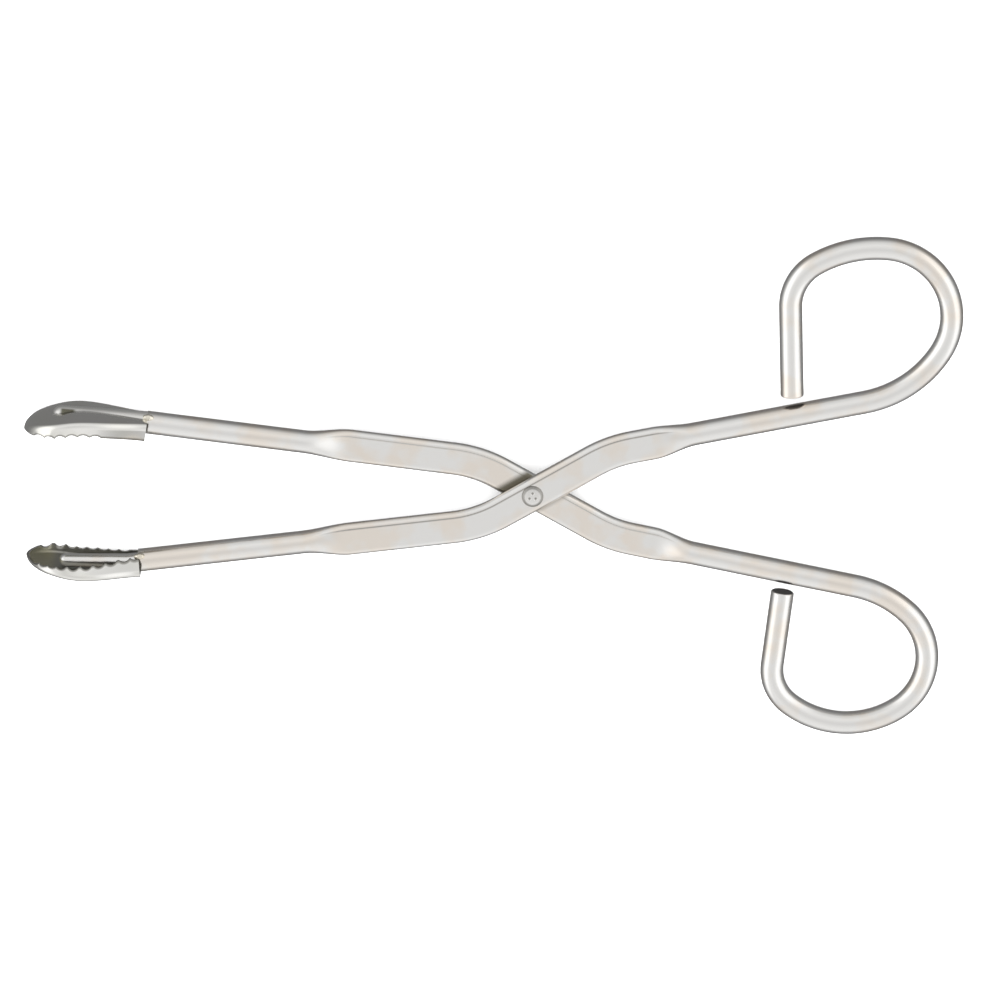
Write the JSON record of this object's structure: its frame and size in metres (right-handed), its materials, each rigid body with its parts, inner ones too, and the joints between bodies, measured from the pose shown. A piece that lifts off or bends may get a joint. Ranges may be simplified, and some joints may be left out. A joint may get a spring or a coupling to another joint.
{
  "type": "sterilizing forceps",
  "caption": "Scissor-action instrument-lifting forceps bent from round steel rod, with toothed trough jaws, riveted lapped arms and open looped finger bows.",
  "frame": {"origin": "pivot axis, on the plane where the two flattened arms lap", "axes": "+X to the finger bows, +Y to the front arm's bow, +Z out of the rivet's dimpled head along the pivot"},
  "size_m": [0.2015, 0.1115, 0.0178],
  "materials": {
    "rod_steel": "satin polished stainless steel",
    "jaw_steel": "bright polished stainless sheet",
    "rivet_steel": "peened stainless steel",
    "weld_metal": "polished weld metal with a faint straw tint"
  },
  "bodies": {
    "front_arm": {"front_arm": "rod_steel", "lower_jaw": "jaw_steel", "lower_jaw_welds": "weld_metal", "pivot_rivet": "rivet_steel"},
    "back_arm": {"back_arm": "rod_steel", "upper_jaw": "jaw_steel", "upper_jaw_welds": "weld_metal"}
  },
  "joints": [
    {"name": "pivot", "type": "hinge", "parent": "front_arm", "child": "back_arm", "pos_m": [0, 0, 0], "axis": [0, 0, -1], "range_deg": [-14.6, 120]}
  ]
}
